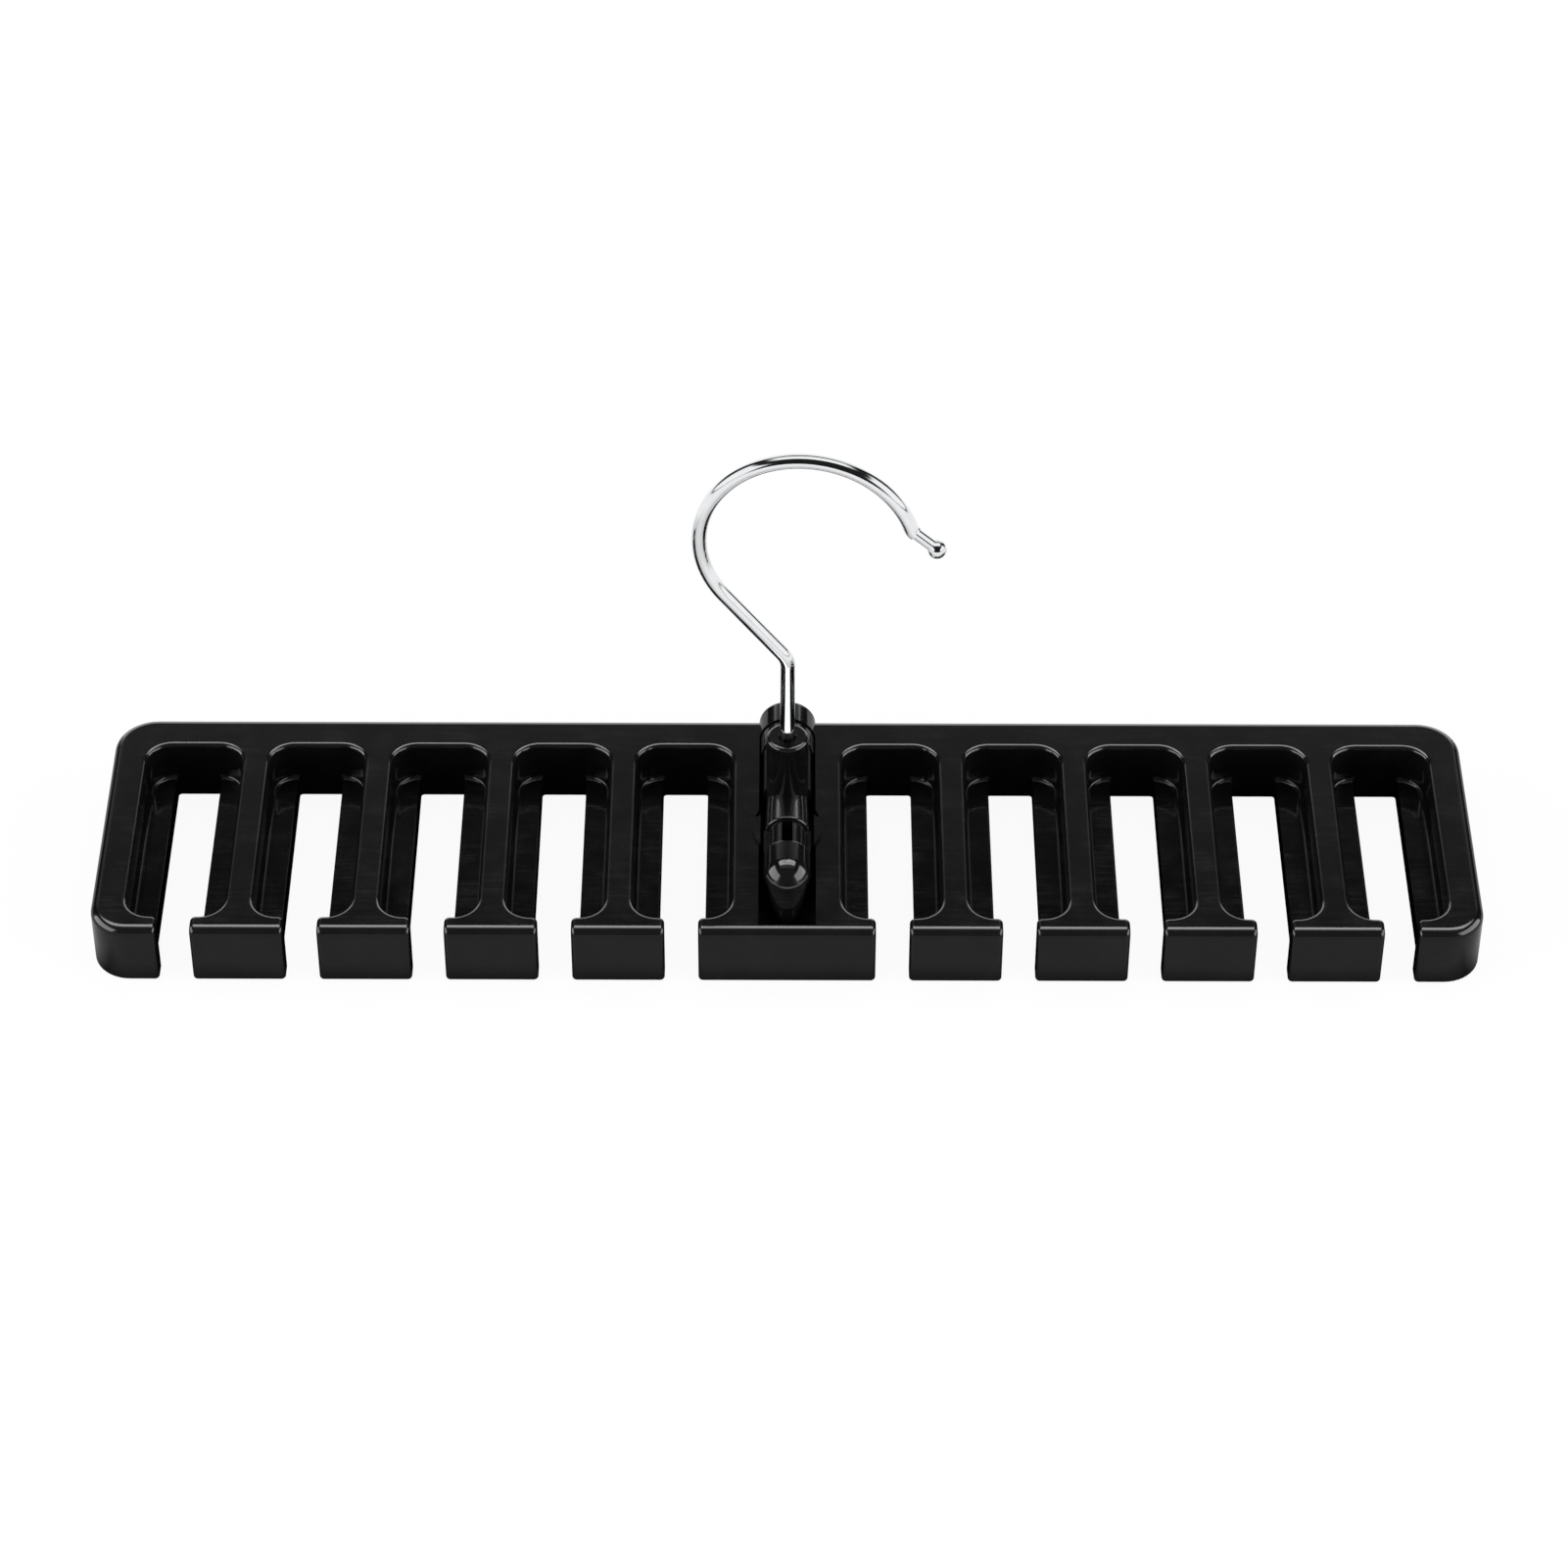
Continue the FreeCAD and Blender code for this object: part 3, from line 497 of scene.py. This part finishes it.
@dataclass
class PaperFloor:
    """A white paper sweep that keeps the object's shadow.

    Mirrors see it white far from the comb. The comb's shadow is painted into what they see: a little darker
    beside the comb and dark underneath.

    Attributes:
        half: Half its width in metres.
        drop_mm: How far it lies below the comb.
        seen_share: The share of plain white in what the camera sees of it.
        seen_level: How bright that white is.
        comb_half_mm: Half the comb's width and depth: the outline of the painted shadow.
        near_mm: Distances from the comb's outline where the painted shadow's edge starts and ends.
        near_level: How bright mirrors see the floor past the painted shadow's edge, beside the comb.
        far_mm: Distances from the comb's outline where the painted shadow's outer fade starts and ends.
        far_gain: How much brighter mirrors see it past that fade.
    """

    half: float = 6.0
    drop_mm: float = 0.2
    colour: str = "#f4f4f4"
    seen_share: float = 0.9
    seen_level: float = 1.03
    comb_half_mm: Pair = (165.0, 38.0)
    near_mm: Pair = (-2.0, 6.0)
    near_level: float = 0.62
    far_mm: Pair = (20.0, 120.0)
    far_gain: float = 0.33

    def level_in_mirrors(self, tree: bpy.types.NodeTree) -> bpy.types.NodeSocket:
        """Makes the brightness that mirrors see, with the comb's shadow painted in: dark under the comb and
        a little darker beside it.

        Args:
            tree: The paper's node tree.

        Returns:
            The brightness, where one is white.
        """
        where = add_node(tree, "SeparateXYZ", {0: add_node(tree, "TexCoord").outputs["Object"]})
        # Painted shadow: the floor that mirrors see is dark inside the comb's outline and brightens with
        # distance from it.
        past = []
        for axis, half in zip(("X", "Y"), self.comb_half_mm):
            away = add_node(tree, "Math", {0: where.outputs[axis]}, operation="ABSOLUTE")
            past.append(add_node(tree, "Math", {0: away.outputs[0], 1: half * MM}, operation="SUBTRACT"))
        outside = add_node(tree, "Math", {0: past[0].outputs[0], 1: past[1].outputs[0]}, operation="MAXIMUM")
        levels = []
        for (begin, full), level in ((self.near_mm, self.near_level), (self.far_mm, self.far_gain)):
            levels.append(add_node(tree, "MapRange", {"Value": outside.outputs[0], "From Min": begin * MM,
                                                      "From Max": full * MM, "To Max": level}))
        painted_shadow_level = add_node(tree, "Math", {0: levels[0].outputs["Result"], 1: levels[1].outputs["Result"]},
                         operation="ADD")
        return painted_shadow_level.outputs[0]

    def paper(self) -> bpy.types.Material:
        """Builds the paper's node material.

        Returns:
            The material.
        """
        made = bpy.data.materials.new("white_paper_sweep")
        made.use_nodes = True
        tree = made.node_tree
        tree.nodes.clear()
        path = add_node(tree, "LightPath")
        mirrored = from_mirror(tree, path)
        level = add_node(tree, "Mix", {"Factor": mirrored, "A": self.seen_level,
                                       "B": self.level_in_mirrors(tree)})
        seen = add_node(tree, "Math", {0: path.outputs["Is Camera Ray"], 1: self.seen_share},
                        operation="MULTIPLY")
        share = add_node(tree, "Math", {0: mirrored, 1: seen.outputs[0]}, operation="MAXIMUM")
        lit = add_node(tree, "BsdfDiffuse", {"Color": srgb(self.colour)})
        white = add_node(tree, "Emission", {"Color": srgb(WHITE), "Strength": level.outputs["Result"]})
        both = add_node(tree, "MixShader", {0: share.outputs[0], 1: lit.outputs[0], 2: white.outputs[0]})
        add_node(tree, "OutputMaterial", {"Surface": both.outputs[0]})
        return made

    def lay(self) -> None:
        """Lays the floor under the object."""
        shape = bmesh.new()
        bmesh.ops.create_grid(shape, x_segments=1, y_segments=1, size=self.half)
        bmesh.ops.translate(shape, verts=shape.verts, vec=(0.0, 0.0, -self.drop_mm * MM))
        mesh = bpy.data.meshes.new("floor")
        shape.to_mesh(mesh)
        shape.free()
        mesh.materials.append(self.paper())
        floor = bpy.data.objects.new("floor", mesh)
        bpy.context.scene.collection.objects.link(floor)


@dataclass
class Surroundings:
    """White to the eye, plain to matt surfaces, and a studio to mirrors.

    Mirrors see a backdrop that falls off upwards, a white ceiling panel, a white panel at each side and dark
    gaps between them. The room on the camera's side is dark.

    The edges of the panels are soft: each is given by the values where it starts and where it is full. They
    are slopes of the direction, such as sideways over upwards, or a part of the direction itself.

    Attributes:
        plain_level: How bright matt surfaces find it all round.
        dark_level: How bright mirrors see the dark parts.
        white_level: How bright mirrors see the white panels.
        least_slope: The least value that a slope is divided by.
        backdrop_fall: Heights where the backdrop starts and ends to fall off.
        backdrop_levels: How bright mirrors see it at those heights.
    """

    plain_level: float = 0.35
    dark_level: float = 0.012
    white_level: float = 1.0
    least_slope: float = 0.05
    ceiling_side: Pair = (0.8, 0.5)
    ceiling_back: Pair = (0.72, 0.5)
    ceiling_front: Pair = (-0.3, -0.15)
    ceiling_low: Pair = (0.2, 0.4)
    panel_front: Pair = (-1.5, -1.15)
    panel_back: Pair = (0.45, 0.2)
    panel_low: Pair = (0.0, 0.06)
    panel_high: Pair = (0.95, 0.75)
    backdrop_high: Pair = (0.715, 0.64)
    backdrop_near: Pair = (0.1, 0.5)
    backdrop_side: Pair = (0.8, 0.6)
    backdrop_fall: Pair = (0.42, 0.66)
    backdrop_levels: Pair = (0.97, 0.38)

    def window(self, tree: bpy.types.NodeTree,
               *edges: tuple[bpy.types.NodeSocket, Pair]) -> bpy.types.NodeSocket:
        """Makes a window with soft edges in the surroundings.

        Args:
            tree: The world's node tree.
            *edges: For each edge, the value that it reads and where that edge starts and is full.

        Returns:
            A socket that is one in the window and nought outside.
        """
        inside = 1.0
        for value, (begin, full) in edges:
            step = add_node(tree, "MapRange", {"Value": value, "From Min": begin, "From Max": full},
                            interpolation_type="SMOOTHSTEP")
            inside = add_node(tree, "Math", {0: inside, 1: step.outputs["Result"]},
                              operation="MULTIPLY").outputs[0]
        return inside

    def level_in_mirrors(self, tree: bpy.types.NodeTree) -> bpy.types.NodeSocket:
        """Makes the brightness that mirrors see.

        Args:
            tree: The world's node tree.

        Returns:
            The brightness, where one is white.
        """
        way = add_node(tree, "SeparateXYZ", {0: add_node(tree, "TexCoord").outputs["Generated"]})
        back, height = way.outputs["Y"], way.outputs["Z"]
        side = add_node(tree, "Math", {0: way.outputs["X"]}, operation="ABSOLUTE").outputs[0]
        up, out, behind = [
            add_node(tree, "Math", {0: value, 1: self.least_slope}, operation="MAXIMUM").outputs[0]
            for value in (height, side, back)
        ]
        side_up, back_up, back_out, rise_out, side_back = [
            add_node(tree, "Math", {0: over, 1: under}, operation="DIVIDE").outputs[0]
            for over, under in ((side, up), (back, up), (back, out), (height, out), (side, behind))
        ]
        ceiling = self.window(tree, (side_up, self.ceiling_side), (back_up, self.ceiling_back),
                              (back_up, self.ceiling_front), (height, self.ceiling_low))
        sides = self.window(tree, (back_out, self.panel_front), (back_out, self.panel_back),
                            (rise_out, self.panel_low), (rise_out, self.panel_high))
        backdrop = self.window(tree, (height, self.backdrop_high), (back, self.backdrop_near),
                               (side_back, self.backdrop_side))
        begin, end = self.backdrop_fall
        bright, dim = self.backdrop_levels
        fall = add_node(tree, "MapRange", {"Value": height, "From Min": begin, "From Max": end,
                                           "To Min": bright, "To Max": dim})
        lit = self.dark_level
        for inside, level in ((ceiling, self.white_level), (sides, self.white_level),
                              (backdrop, fall.outputs["Result"])):
            panel = add_node(tree, "Math", {0: inside, 1: level}, operation="MULTIPLY")
            lit = add_node(tree, "Math", {0: panel.outputs[0], 1: lit}, operation="MAXIMUM").outputs[0]
        return lit

    def build(self) -> None:
        """Builds the world."""
        world = bpy.data.worlds.new("studio")
        bpy.context.scene.world = world
        world.use_nodes = True
        tree = world.node_tree
        tree.nodes.clear()
        path = add_node(tree, "LightPath")
        level = add_node(tree, "Mix", {"Factor": from_mirror(tree, path), "A": self.plain_level,
                                       "B": self.level_in_mirrors(tree)})
        shown = add_node(tree, "Math", {0: level.outputs["Result"], 1: path.outputs["Is Camera Ray"]},
                         operation="MAXIMUM")
        sky = add_node(tree, "Background", {"Color": srgb(WHITE), "Strength": shown.outputs[0]})
        add_node(tree, "OutputWorld", {"Surface": sky.outputs[0]})


@dataclass
class PhotoCamera:
    """The camera, where the photograph was taken from.

    Attributes:
        level_deg: How far a camera that looks straight down is turned up to look level.
        elevation_deg: How far it looks down from there.
        roll_deg: How far it is turned about its line of sight.
        eye_mm: Where it stands.
        focal_px: Its focal length in the photograph's pixels.
        photo_px: The photograph's width in pixels.
    """

    level_deg: float = 90.0
    elevation_deg: float = 41.875
    roll_deg: float = 0.151
    eye_mm: Triple = (-0.8, -875.35, 813.72)
    focal_px: float = 5013.5
    photo_px: float = 1601.0
    sensor_mm: float = 36.0

    def place(self) -> None:
        """Puts the camera in its place."""
        lens = bpy.data.cameras.new("camera")
        lens.sensor_width = self.sensor_mm
        lens.lens = self.focal_px / self.photo_px * self.sensor_mm
        camera = bpy.data.objects.new("camera", lens)
        bpy.context.scene.collection.objects.link(camera)
        tilt = Matrix.Rotation(math.radians(self.level_deg - self.elevation_deg), 4, "X")
        roll = Matrix.Rotation(math.radians(self.roll_deg), 4, "Z")
        camera.matrix_world = Matrix.Translation(Vector(self.eye_mm) * MM) @ tilt @ roll
        bpy.context.scene.camera = camera


@dataclass
class Studio:
    """Pale floor, soft lamps, surroundings and the camera."""

    floor: PaperFloor = field(default_factory=PaperFloor)
    lamps: LampRig = field(default_factory=LampRig)
    surroundings: Surroundings = field(default_factory=Surroundings)
    camera: PhotoCamera = field(default_factory=PhotoCamera)

    def build(self) -> None:
        """Builds the whole studio."""
        bpy.context.scene.view_settings.view_transform = "Standard"
        self.floor.lay()
        self.lamps.hang()
        self.surroundings.build()
        self.camera.place()


def main() -> None:
    """Builds the studio and dresses every piece."""
    logging.basicConfig(level=logging.INFO, format="%(name)s %(message)s")
    Studio().build()
    CombRack().dress()
    HookBlock().dress()
    WireHook().dress()
    log.info("dressed the tie hanger")


if __name__ == "__main__":
    main()
